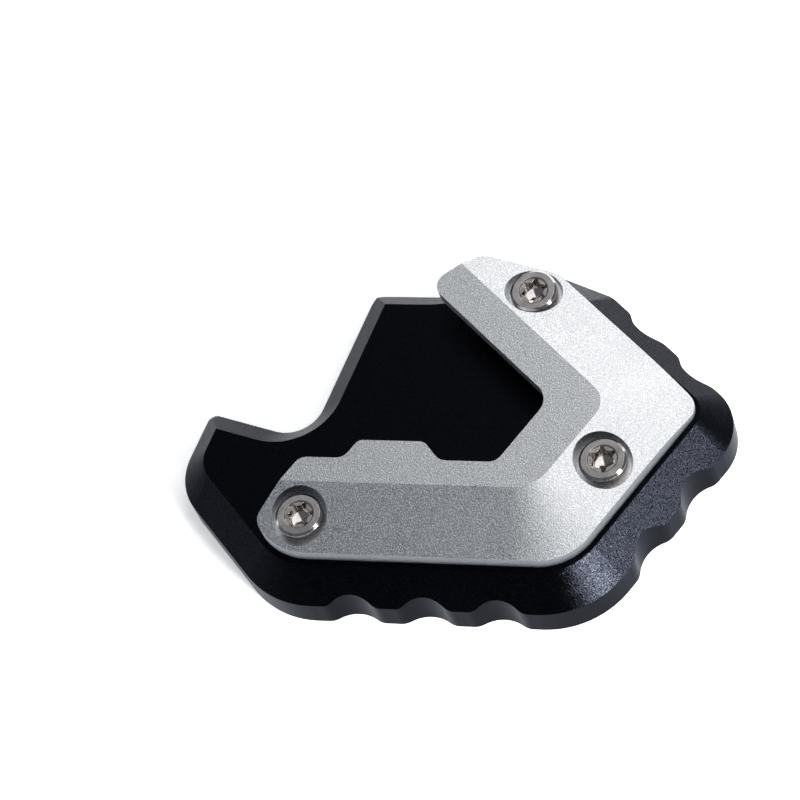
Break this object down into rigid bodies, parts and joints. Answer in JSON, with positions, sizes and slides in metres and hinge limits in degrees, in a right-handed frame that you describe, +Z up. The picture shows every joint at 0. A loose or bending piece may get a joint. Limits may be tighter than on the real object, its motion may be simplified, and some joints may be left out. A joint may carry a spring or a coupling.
{
  "type": "kickstand foot enlarger",
  "caption": "Scalloped base plate with a facetted clamp plate screwed on top, widening the foot of a motorcycle side stand so that it doesn't sink into soft ground.",
  "frame": {"origin": "middle of the bounding box, on the flat underside that rests on the ground", "axes": "+Z up from the ground, +X along the straight front edge towards the pointed right end, +Y towards the rear, where the stand's leg comes in"},
  "size_m": [0.1172, 0.08, 0.022],
  "materials": {
    "anodised_black": "bead-blasted and black anodised",
    "anodised_silver": "bead-blasted and clear anodised",
    "stainless": "bright turned stainless steel"
  },
  "bodies": {
    "root": {"base_plate": "anodised_black", "top_plate": "anodised_silver", "screw_front": "stainless", "screw_side": "stainless", "screw_rear": "stainless"}
  },
  "joints": []
}
